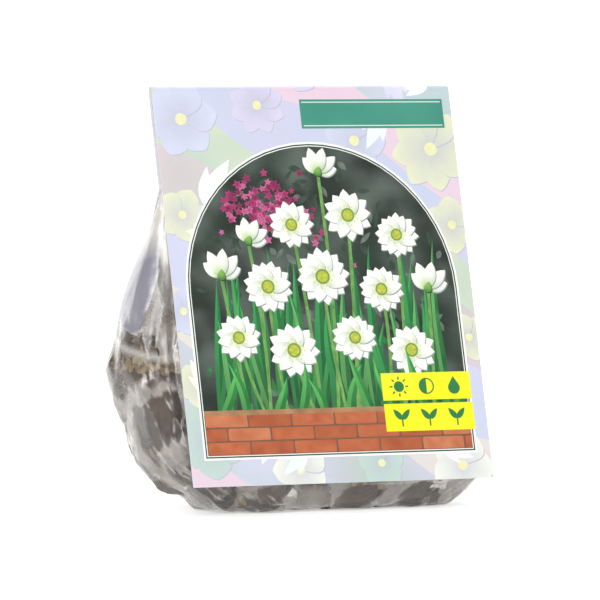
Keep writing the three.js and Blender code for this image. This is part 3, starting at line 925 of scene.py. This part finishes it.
def dry_bulb(index, name):
    """One bulb: its profile is spun round, then ribbed, dented and given a torn papery neck."""
    base, neck, radius = measured_axis(name)
    length = (neck - base).length
    rings = 30
    profile = [Vector((0, 0, 0))]
    for i in range(rings + 1):
        profile.append(Vector((bulb_radius(i / rings) * radius, 0, i / rings * length)))
    profile.append(Vector((0, 0, length)))
    links = [(i, i + 1) for i in range(len(profile) - 1)]
    bulb = mesh_object(f"dry_bulb_{index:02d}", profile, [], [TUNICS[index % len(TUNICS)]], links)
    only(bulb)
    bpy.ops.object.mode_set(mode="EDIT")
    bpy.ops.mesh.select_all(action="SELECT")
    bpy.ops.mesh.spin(steps=SPIN_STEPS, angle=2 * math.pi, center=(0, 0, 0), axis=(0, 0, 1))
    bpy.ops.mesh.select_all(action="SELECT")
    bpy.ops.mesh.remove_doubles(threshold=0.00002)
    bpy.ops.mesh.normals_make_consistent(inside=False)
    bpy.ops.object.mode_set(mode="OBJECT")
    put_in_order(bulb)
    draw = random.Random(100 + index)
    flat, lean = draw.uniform(0.9, 1.0), draw.uniform(-0.05, 0.05)
    ribs, turn = draw.choice([9, 11, 13]), draw.uniform(0, 6)
    place = (neck - base).to_track_quat("Z", "Y").to_matrix()
    skin = bulb.data.attributes.new("Skin", "FLOAT_VECTOR", "POINT")
    for vertex in bulb.data.vertices:
        point = vertex.co.copy()
        share = point.z / length
        around = math.atan2(point.y, point.x)
        reach = math.hypot(point.x, point.y)
        dent = noise.noise(Vector((point.x, point.y, point.z * 0.6)) / (7 * MM) + Vector((index * 7, 0, 0)))
        rib = math.cos(ribs * around + turn + 2 * share) * (0.4 + 0.6 * share)
        reach *= 1 + 0.035 * (dent - 0.6) + 0.014 * (rib - 1)
        torn = max(0, share - 0.86) / 0.14
        reach *= 1 - torn * 0.35 * clamp(cloudy(math.cos(around) * 2, math.sin(around) * 2, 1, index))
        height = point.z - torn * length * 0.05 * (0.5 + 0.5 * math.cos(3 * around + turn))
        skin.data[vertex.index].vector = (math.cos(around), math.sin(around), share)
        squeezed = Vector((reach * math.cos(around), reach * math.sin(around) * flat, height))
        squeezed.x += lean * radius * math.sin(math.pi * share)
        vertex.co = base + place @ squeezed
    bpy.ops.object.shade_smooth()
    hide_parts(name)
    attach(bulb, "root")
    return bulb


# ---- The film bag ----

FILM_PINNED_ABOVE = CLAMP_HEIGHT - 3
FILM_MOST_MOVE = 4.5 * MM
KEPT_FOLDS = 0.42
SPREADING_ROUNDS = 70
# The shares of the net's faces that its coarse copies keep.
LARGE_FACETS = 0.012
SMALL_FACETS = 0.07
CREASE_ANGLE = math.radians(16)
PRESS_REACH = 12 * MM
FILM_RIGHT_END = 69.6
CORNER_REACH = 11 * MM
FILM_GAP = 0.35 * MM
BULB_SEARCH = 12 * MM
# Further than any crease shows, in millimetres.
FAR_OFF = 9.0
FILM_PRESSURE = 0.5
BACK_PANEL_FOOT = 74
CLOTH_FRAMES = 16


def smooth(values):
    values = np.clip(values, 0, 1)
    return values * values * (3 - 2 * values)


def places_and_normals(piece):
    points = piece.data.vertices
    places, outward = np.empty((2, 3 * len(points)), np.float32)
    points.foreach_get("co", places)
    points.foreach_get("normal", outward)
    return places.reshape(-1, 3).astype(float), outward.reshape(-1, 3).astype(float)


def height_up_card(point):
    return (point - CARD_FOOT).dot(UP_CARD) / MM


def from_card_face(places):
    """Places as across the card, up it and behind its front face, in millimetres."""
    from_foot = places - np.array(CARD_FOOT)
    return from_foot[:, 0] / MM, from_foot @ np.array(UP_CARD) / MM, from_foot @ np.array(INTO_CARD) / MM


def collider(name, mesh, gap):
    piece = bpy.data.objects.new(name, mesh)
    bpy.context.scene.collection.objects.link(piece)
    piece.modifiers.new("Collision", "COLLISION")
    piece.collision.thickness_outer = gap
    piece.collision.cloth_friction = 8
    return piece


def film_shell():
    """The outer face of the CAD film bag, as a fine net of quads."""
    film = bpy.data.objects.new("crinkled_film_bag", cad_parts["film_bag"].data.copy())
    bpy.context.scene.collection.objects.link(film)
    film.data.materials.clear()
    film.data.materials.append(FILM)
    net = bmesh.new()
    net.from_mesh(film.data)
    bmesh.ops.remove_doubles(net, verts=net.verts, dist=0.00001)
    net.faces.ensure_lookup_table()
    top = max(height_up_card(v.co) for v in net.verts)
    rim = [f for f in net.faces if all(height_up_card(v.co) > top - 0.05 for v in f.verts)]
    bmesh.ops.delete(net, geom=rim, context="FACES")
    lowest = min(net.verts, key=lambda v: v.co.z)
    outer, queue = {lowest}, [lowest]
    while queue:
        for edge in queue.pop().link_edges:
            for vertex in edge.verts:
                if vertex not in outer:
                    outer.add(vertex)
                    queue.append(vertex)
    bmesh.ops.delete(net, geom=[v for v in net.verts if v not in outer], context="VERTS")
    net.to_mesh(film.data)
    net.free()
    put_in_order(film)
    only(film)
    bpy.ops.object.mode_set(mode="EDIT")
    bpy.ops.mesh.select_all(action="SELECT")
    bpy.ops.mesh.tris_convert_to_quads()
    bpy.ops.mesh.subdivide(number_cuts=2, smoothness=0)
    bpy.ops.object.mode_set(mode="OBJECT")
    put_in_order(film)
    return film


def joined(pieces):
    """The nets of some pieces as one."""
    net = bmesh.new()
    for piece in pieces:
        net.from_mesh(piece.data)
    return net


def keep_clear(film, bulbs):
    """Puts each point of the film back outside the bulbs, above the table and between the card's panels."""
    shallowest = CARD_THICKNESS + 0.35
    for vertex in film.data.vertices:
        point = vertex.co
        place, outward, _, distance = bulbs.find_nearest(point, BULB_SEARCH)
        if place is not None and (distance < FILM_GAP or (point - place).dot(outward) < 0):
            point = place + outward * FILM_GAP
        from_card = point - CARD_FOOT
        up, depth = from_card.dot(UP_CARD) / MM, from_card.dot(INTO_CARD) / MM
        across = from_card.x / MM
        if across > FILM_RIGHT_END:
            point = point - Vector(((across - FILM_RIGHT_END) * MM, 0, 0))
        if abs(across) < CARD_WIDTH / 2 + 1 and up > -1:
            if depth < shallowest:
                point = point + INTO_CARD * ((shallowest - depth) * MM)
            deepest = bag_depth(up) + 0.5
            if up > BACK_PANEL_FOOT and depth > deepest:
                point = point - INTO_CARD * ((depth - deepest) * MM)
        vertex.co = (point.x, point.y, max(point.z, 0))


def spread_out(film, values):
    """Evens a value at each point of the net out over its neighbours, which leaves only broad swells."""
    ends = np.array([e.vertices for e in film.data.edges])
    count = np.ones(len(values))
    np.add.at(count, ends[:, 0], 1)
    np.add.at(count, ends[:, 1], 1)
    for _ in range(SPREADING_ROUNDS):
        total = values.copy()
        np.add.at(total, ends[:, 0], values[ends[:, 1]])
        np.add.at(total, ends[:, 1], values[ends[:, 0]])
        values = total / count
    return values


def settle_film(film):
    """Lets the film crumple over the bulbs: it is cut a little too large, and hangs from the card.
    The broad sinking that this brings is taken back, so that the bag stays as full as it is."""
    pins = film.vertex_groups.new(name="held_by_card")
    pins.add([v.index for v in film.data.vertices if height_up_card(v.co) > FILM_PINNED_ABOVE], 1.0, "REPLACE")
    rest, outward = places_and_normals(film)
    contents = bpy.data.meshes.new("contents")
    bulb_net = joined(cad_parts[name] for name in BULB_NODES)
    bulb_net.to_mesh(contents)
    bulb_net.free()
    helpers = [
        collider("bulbs_collider", contents, 0.0002),
        collider("card_collider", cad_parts["header_card"].data.copy(), 0.0002),
    ]
    bpy.ops.mesh.primitive_plane_add(size=1, location=(0, 0, -0.0003))
    floor = bpy.context.object
    helpers.append(collider("floor_collider", floor.data, 0.0002))
    bpy.data.objects.remove(floor)
    modifier = film.modifiers.new("Cloth", "CLOTH")
    cloth = modifier.settings
    cloth.vertex_group_mass = pins.name
    cloth.quality = 6
    cloth.mass = 0.02
    cloth.tension_stiffness = 60
    cloth.compression_stiffness = 30
    cloth.shear_stiffness = 30
    cloth.bending_stiffness = 0.02
    cloth.shrink_min = -0.035
    cloth.use_pressure = True
    cloth.uniform_pressure_force = FILM_PRESSURE
    cloth.effector_weights.gravity = 0
    modifier.collision_settings.distance_min = 0.0003
    modifier.collision_settings.collision_quality = 3
    modifier.point_cache.frame_end = CLOTH_FRAMES
    scene = bpy.context.scene
    for frame_number in range(1, CLOTH_FRAMES + 1):
        scene.frame_set(frame_number)
    only(film)
    bpy.ops.object.modifier_apply(modifier=modifier.name)
    scene.frame_set(1)
    for helper in helpers:
        bpy.data.objects.remove(helper)
    film.vertex_groups.clear()
    settled = np.array([v.co for v in film.data.vertices], float)
    move = settled - rest
    sinking = spread_out(film, np.einsum("ij,ij->i", move, outward))
    move -= outward * sinking[:, None]
    # Near the card, and over the end of the back panel, the film lies calm.
    _, up, _, _, into_panel = side_panel(rest)
    calm = np.maximum(0.75 * smooth((up - 72) / 30), smooth((into_panel + 2) / 4))
    move *= (KEPT_FOLDS * (1 - calm))[:, None]
    far = np.maximum(np.linalg.norm(move, axis=1), 1e-9)
    move *= np.minimum(1, FILM_MOST_MOVE / far)[:, None]
    film.data.vertices.foreach_set("co", (rest + move).ravel())
    film.data.update()


def swell(film):
    """Air holds the film out a little past the CAD bag's face, most at the middle of its left side and
    at its lower front corner on the right."""
    places, outward = places_and_normals(film)
    _, up, depth = from_card_face(places)
    left = smooth((-places[:, 0] / MM - 45) / 30)
    high = smooth((FILM_PINNED_ABOVE - up) / 40) * np.maximum(smooth((up + 5) / 35), 0.8 * left)
    corner = smooth((places[:, 0] / MM - 35) / 30) * smooth((24 - depth) / 14) * smooth((40 - up) / 20)
    places += outward * (((0.6 + 1.6 * left) * high + 3.4 * corner) * MM)[:, None]
    # The lower corner on the right is drawn to the back of the card's own corner.
    pull = np.array(on_card(FILM_RIGHT_END, 1.2, 2.5)) - places
    drawn = 0.75 * np.exp(-(np.linalg.norm(pull, axis=1) / CORNER_REACH) ** 2)
    places += pull * drawn[:, None]
    film.data.vertices.foreach_set("co", places.ravel())
    film.data.update()


def facets(film, share, unevenness, seed):
    """A coarse copy of the film with its corners moved a little: flat facets with straight creases.
    Gives its search tree and, for each facet, the edges at which it meets the next one at an angle."""
    coarse = bpy.data.objects.new("facets", film.data.copy())
    bpy.context.scene.collection.objects.link(coarse)
    apply_modifier(coarse, "DECIMATE", ratio=share)
    places, outward = places_and_normals(coarse)
    draw = np.random.default_rng(seed)
    places += outward * (draw.uniform(-1, 1, len(places)) * unevenness)[:, None]
    coarse.data.vertices.foreach_set("co", places.ravel())
    coarse.data.update()
    net = bmesh.new()
    net.from_mesh(coarse.data)
    tree = BVHTree.FromBMesh(net)
    creases = [
        [tuple(v.co.copy() for v in e.verts) for e in f.edges if e.calc_face_angle(0) > CREASE_ANGLE]
        for f in net.faces
    ]
    net.free()
    bpy.data.objects.remove(coarse)
    return tree, creases


def crumple(film):
    """Presses the film's net onto facets of about 16 mm, and then of about 7 mm, as stiff film takes
    when it is handled. Some of the softer folds stay. Gives each point's way to the nearest crease."""
    large, creases = facets(film, LARGE_FACETS, 1.2 * MM, 3)
    small, _ = facets(film, SMALL_FACETS, 0.55 * MM, 8)
    nearest = []
    into_panel = side_panel(places_and_normals(film)[0])[4]
    for vertex, inside in zip(film.data.vertices, into_panel):
        free = ease((FILM_PINNED_ABOVE - height_up_card(vertex.co)) / 20) * (1 - 0.8 * ease((inside + 1) / 3))
        on_large, _, facet, _ = large.find_nearest(vertex.co)
        on_small = small.find_nearest(vertex.co)[0]
        on_creases = (geometry.intersect_point_line(on_large, a, b)[0] for a, b in creases[facet])
        nearest.append(min(((on_large - place).length / MM for place in on_creases), default=FAR_OFF))
        vertex.co += ((on_large - vertex.co) * 0.62 + (on_small - vertex.co) * 0.38) * free
    return np.array(nearest)


# The film lies flat over the end of the back panel. That flat side panel ends in a front line, given
# as heights up the card and places across it, and in a lower line, as depth behind the card and height.
SIDE_FRONT = ([68.8, 79.4, 95.2, 110.4], [-84.6, -79.6, -73.2, -71.2])
SIDE_CORNER = Vector((10.4, 68.8))
SIDE_BACK = Vector((44, 87))
SIDE_ACROSS = -62


def beyond(a, b, depth, up):
    """How far places lie to the left of the line from a to b."""
    line = (b - a).normalized()
    return line.x * (up - a.y) - line.y * (depth - a.x)


def side_panel(places):
    """For places on the film: across the card, height up it, the way behind the side panel's front
    line, the way above its lower line, and the way into it, all in millimetres."""
    across, up, depth = from_card_face(places)
    behind_front = np.maximum(depth - SIDE_CORNER.x, np.interp(up, *SIDE_FRONT) - across)
    above_foot = beyond(SIDE_CORNER, SIDE_BACK, depth, up)
    into_panel = np.where(across < SIDE_ACROSS, np.minimum(behind_front, above_foot), -FAR_OFF)
    return across, up, behind_front, above_foot, into_panel


def pressing(bulbs, place, outward):
    """1 where the film lies flat on a bulb's round side, 0 where no bulb faces it closely."""
    _, facing, _, away = bulbs.ray_cast(place, -outward, PRESS_REACH)
    if facing is None:
        return 0.0
    return ease((facing.dot(outward) - 0.48) / 0.4) * ease((PRESS_REACH - away) / (0.4 * PRESS_REACH))


def lie_of_film(film, bulbs, crease):
    """Writes to each point of the film what its material needs."""
    places, outward = places_and_normals(film)
    across, up, behind_front, above_foot, into_panel = side_panel(places)
    left = across < SIDE_ACROSS
    # The flat panel's front and lower edges get the near-white crease lines too. They stand for the panel's
    # bright edge behind the film, partly its white cut edge and partly painted highlight.
    front_line = np.where(left & (up > SIDE_CORNER.y) & (up < 124), np.abs(behind_front) * 0.6, FAR_OFF)
    foot_line = np.where(left & (behind_front > -8), np.abs(above_foot), FAR_OFF)
    double = np.where(across < -56, 0.75 * np.exp(-((above_foot + 7) / 2) ** 2), 0)
    crease = np.minimum(np.minimum(np.where(into_panel > 0.5, FAR_OFF, crease), front_line), foot_line)
    pressed = [pressing(bulbs, Vector(place), Vector(facing)) for place, facing in zip(places, outward)]
    into_panel = np.where(up < 100, into_panel, np.minimum(into_panel, 0.3 - (up - 100) * 0.05))
    lie = film.data.attributes.new("Lie", "FLOAT_VECTOR", "POINT")
    lie.data.foreach_set("vector", np.stack([pressed, into_panel, crease], 1).astype(np.float32).ravel())
    # A milkier, lighter patch on the front of the underside: painted reflection of the pale floor.
    x, y, z = (places / MM).T
    painted_sheen_patches = 0.5 * np.exp(-((x + 4) / 14) ** 2) * smooth((14 - z) / 6) * (y < -8)
    milk = film.data.attributes.new("Milk", "FLOAT", "POINT")
    milkiness = np.maximum.reduce([smooth((up - 88) / 14), double, painted_sheen_patches])
    milk.data.foreach_set("value", milkiness.astype(np.float32))


def film_bag(bulb_net):
    film = film_shell()
    bulbs = BVHTree.FromBMesh(bulb_net)
    settle_film(film)
    swell(film)
    keep_clear(film, bulbs)
    apply_modifier(film, "SUBSURF", levels=1, render_levels=1)
    crease = crumple(film)
    keep_clear(film, bulbs)
    lie_of_film(film, bulbs, crease)
    only(film)
    bpy.ops.object.shade_smooth_by_angle(angle=math.radians(35))
    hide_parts("film_bag")
    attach(film, "root")
    return film


# ---- Dry scraps ----

HEAP_PEAK = Vector((-59, 10, 88))
HEAP_SLOPE_LEFT = 0.85
HEAP_SLOPE = 0.62
HEAP_FOOT = 62
HEAP_SKIN = 24
HEAP_RIGHT_END = -50
WALL_SCRAPS = 560
LOOSE_SCRAPS = 700
CORNER_CLEAR = 0.35 * MM


def heap_top(x, y):
    """The height of the scraps' heap, in millimetres, over a place in millimetres."""
    aside = Vector((x - HEAP_PEAK.x, y - HEAP_PEAK.y))
    return HEAP_PEAK.z - aside.length * (HEAP_SLOPE_LEFT if aside.x < 0 else HEAP_SLOPE)


def curled_patch(place, turn, length, width, curl, draw):
    """The corners of one curled flake, four along it by three across."""
    corners = []
    for i in range(4):
        bend = (i / 3 - 0.5) * 2
        for j in range(3):
            across = (j / 2 - 0.5) * width * (1 - 0.35 * bend * bend) * draw.uniform(0.8, 1.15)
            lift = curl * (bend * bend * 0.8 + ((j - 1) ** 2) * 0.35)
            corners.append(place + turn @ Vector((bend * length / 2 * draw.uniform(0.92, 1.05), across, lift)))
    return corners


def dry_scraps(bulb_net, film):
    """Torn bulb skins and packing shavings: a heap on top of the bulbs at the left, and more of them
    between the bulbs. Those along the film lie flat against it."""
    bulbs = BVHTree.FromBMesh(bulb_net)
    film_net = joined([film])
    wall = BVHTree.FromBMesh(film_net)
    film_net.free()

    def room(point, tree):
        near, away, _, _ = tree.find_nearest(point)
        return (point - near).dot(away)

    draw = random.Random(77)
    places, outward = places_and_normals(film)
    tops = [heap_top(x, y) for x, y in places[:, :2] / MM]
    high = places[:, 2] / MM
    on_heap = [
        i for i in range(len(places))
        if max(HEAP_FOOT, tops[i] - HEAP_SKIN) < high[i] < tops[i] and places[i][0] < HEAP_RIGHT_END * MM
    ]
    anywhere = [i for i in range(len(places)) if 3 < high[i] < 60]
    lies = []
    for _ in range(WALL_SCRAPS):
        i = draw.choice(on_heap if draw.random() < 0.85 else anywhere)
        facing = Vector(outward[i])
        lies.append((Vector(places[i]) - facing * draw.uniform(1.3, 3.2) * MM, facing, 0.16))
    for _ in range(LOOSE_SCRAPS):
        x, y = draw.gauss(-56, 13), draw.gauss(6, 10)
        lies.append((Vector((x, y, draw.uniform(52, max(54, heap_top(x, y))))) * MM, Vector((0, 0, 1)), 0.5))
    corners, faces = [], []
    for place, facing, tilt in lies:
        if room(place, bulbs) < 0.6 * MM or room(place, wall) > -1.0 * MM:
            continue
        lean = Vector([draw.gauss(0, tilt) for _ in range(3)])
        turn = (facing + lean).to_track_quat("Z", "Y").to_matrix()
        turn = turn @ Matrix.Rotation(draw.uniform(0, 6.3), 3, "Z")
        curl = draw.uniform(-0.9, 0.5) * MM
        flake = curled_patch(place, turn, draw.uniform(3, 8) * MM, draw.uniform(1.4, 3.4) * MM, curl, draw)
        if max(room(corner, wall) for corner in flake) > -CORNER_CLEAR:
            continue
        first = len(corners)
        corners += flake
        for i in range(3):
            for j in range(2):
                a = first + 3 * i + j
                faces.append((a, a + 3, a + 4, a + 1))
    scraps = mesh_object("dry_skin_scraps", corners, faces, [SCRAP])
    apply_modifier(scraps, "SOLIDIFY", thickness=0.12 * MM, offset=0)
    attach(scraps, "root")


# Coats that have come off whole bulbs lie on top of them against the film: the place on the film, the
# way outwards there, the way of the neck, and the radius and length, in millimetres.
LOOSE_COATS = [
    ((-78.3, 1, 69), (-0.96, -0.15, 0.2), (0.1, 0.75, 0.5), 8.4, 22),
    ((-79.6, 5, 56.5), (-1, -0.04, 0), (0, -0.9, 0.35), 8.2, 25),
    ((-71.5, -11.5, 60.5), (-0.45, -0.86, 0.22), (-0.75, 0.4, 0.35), 8.4, 24),
    ((-62, -13.8, 58), (-0.15, -0.95, 0.26), (0.8, 0, 0.5), 8, 22),
    ((-76.5, 18, 62), (-0.85, 0.45, 0.1), (0.2, 0.3, 0.9), 8.4, 24),
    ((-50, -14.8, 60), (0, -0.96, 0.28), (0.9, 0, -0.2), 8.6, 26),
]
COAT_SPREAD = math.radians(66)
COAT_ROWS, COAT_COLUMNS = 18, 18
COAT_CLEAR = 1.1


def loose_coats():
    """The coats: each is the outer part of a bulb's skin, with torn, wavy edges."""
    corners, faces, skin = [], [], []
    for number, (place, outward, neck, radius, length) in enumerate(LOOSE_COATS):
        outward = Vector(outward).normalized()
        along = (Vector(neck) - outward * Vector(neck).dot(outward)).normalized()
        side = along.cross(outward)
        axis = Vector(place) - outward * (radius + COAT_CLEAR)
        first = len(corners)
        for i in range(COAT_ROWS + 1):
            share = 0.04 + 0.9 * i / COAT_ROWS
            for j in range(COAT_COLUMNS + 1):
                torn = 1 + 0.22 * noise.noise(Vector((i / 2.5, 0 if j < COAT_COLUMNS / 2 else 9, number)))
                around = (j / COAT_COLUMNS - 0.5) * 2 * COAT_SPREAD * torn
                dent = 1 - 0.07 * clamp(cloudy(i, j, 4, number))
                reach = bulb_radius(share) * radius * dent
                point = axis + along * ((share - 0.4) * length)
                corners.append((point + (outward * math.cos(around) + side * math.sin(around)) * reach) * MM)
                skin.append((math.cos(around + number), math.sin(around + number), share))
        for i in range(COAT_ROWS):
            for j in range(COAT_COLUMNS):
                a = first + i * (COAT_COLUMNS + 1) + j
                faces.append((a, a + 1, a + COAT_COLUMNS + 2, a + COAT_COLUMNS + 1))
    coats = mesh_object("loose_bulb_coats", corners, faces, [TUNICS[1]])
    attribute = coats.data.attributes.new("Skin", "FLOAT_VECTOR", "POINT")
    attribute.data.foreach_set("vector", [value for place in skin for value in place])
    apply_modifier(coats, "SOLIDIFY", thickness=0.15 * MM, offset=-1)
    only(coats)
    bpy.ops.object.shade_smooth()
    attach(coats, "root")
    return coats


# ---- The stage and the camera ----

def stage():
    """A sheet of white paper in a pale room, under a broad sun and two soft lamps."""
    world = bpy.data.worlds.new("pale_room")
    bpy.context.scene.world = world
    world.use_nodes = True
    white = (1, 1, 1, 1)
    world.node_tree.nodes["Background"].inputs["Color"].default_value = white
    world.node_tree.nodes["Background"].inputs["Strength"].default_value = 0.4
    paper, tree = new_material("white_studio_paper")
    lit = {"Base Color": linear("#f6f6f6"), "Roughness": 0.9, "Emission Color": white, "Emission Strength": 0.4}
    finished(paper, node(tree, "ShaderNodeBsdfPrincipled", lit))
    # One sheet of paper: level under the bag, then up behind it.
    bpy.ops.mesh.primitive_plane_add(size=40, location=(0, 0, -0.0003))
    floor = bpy.context.object
    floor.name = "studio_floor"
    upright = (math.radians(90), 0, math.radians(-24))
    bpy.ops.mesh.primitive_plane_add(size=12, location=(2, 4.6, 3), rotation=upright)
    wall = bpy.context.object
    wall.name = "studio_wall"
    for piece in (floor, wall):
        piece.data.materials.append(paper)

    bpy.ops.object.light_add(type="SUN", location=(-1, -2, 2))
    sun = bpy.context.object
    sun.name = "broad_soft_light"
    sun.data.energy = 1.3
    sun.data.angle = math.radians(35)
    sun.rotation_euler = Vector((0.45, 0.75, -0.7)).to_track_quat("-Z", "Y").to_euler()

    def soft_box(name, place, aim, size, power):
        bpy.ops.object.light_add(type="AREA", location=place)
        lamp = bpy.context.object
        lamp.name = name
        lamp.data.size = size
        lamp.data.energy = power
        lamp.rotation_euler = (Vector(aim) - Vector(place)).to_track_quat("-Z", "Y").to_euler()

    soft_box("left_strip", (-0.9, -0.5, 0.5), (0, 0, 0.06), 0.25, 2.5)
    soft_box("top_box", (0.1, 0.2, 1.0), (0, 0, 0.06), 0.4, 3)
    bpy.context.scene.view_settings.view_transform = "Standard"


CAMERA_PLACE = Vector((-0.9531, -2.1531, 0.2523))
CAMERA_AIM = Vector((-0.0048, -0.0098, 0.0894))
CAMERA_ROLL = math.radians(0.65)
CAMERA_LENS = 330


def camera():
    """The photo's own view."""
    bpy.ops.object.camera_add(location=CAMERA_PLACE)
    eye = bpy.context.object
    eye.name = "photo_camera"
    eye.data.lens = CAMERA_LENS
    eye.data.sensor_width = 36
    eye.data.clip_end = 20
    facing = (CAMERA_AIM - CAMERA_PLACE).to_track_quat("-Z", "Y").to_matrix()
    eye.rotation_euler = (facing @ Matrix.Rotation(CAMERA_ROLL, 3, "Z")).to_euler()
    bpy.context.scene.camera = eye


camera()
stage()

card = printed_card()
inner_side = {"material_offset": 1, "material_offset_rim": 1}
apply_modifier(card, "SOLIDIFY", thickness=CARD_THICKNESS * MM, offset=-1, **inner_side)
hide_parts("header_card")
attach(card, "root")

bulbs = [dry_bulb(number, name) for number, name in enumerate(BULB_NODES, 1)]
coats = loose_coats()
bulb_net = joined([*bulbs, coats])
film = film_bag(bulb_net)
dry_scraps(bulb_net, film)
bulb_net.free()

for name in ("glue_line_front", "glue_line_back"):
    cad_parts[name].data.materials.clear()
    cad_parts[name].data.materials.append(GLUE)
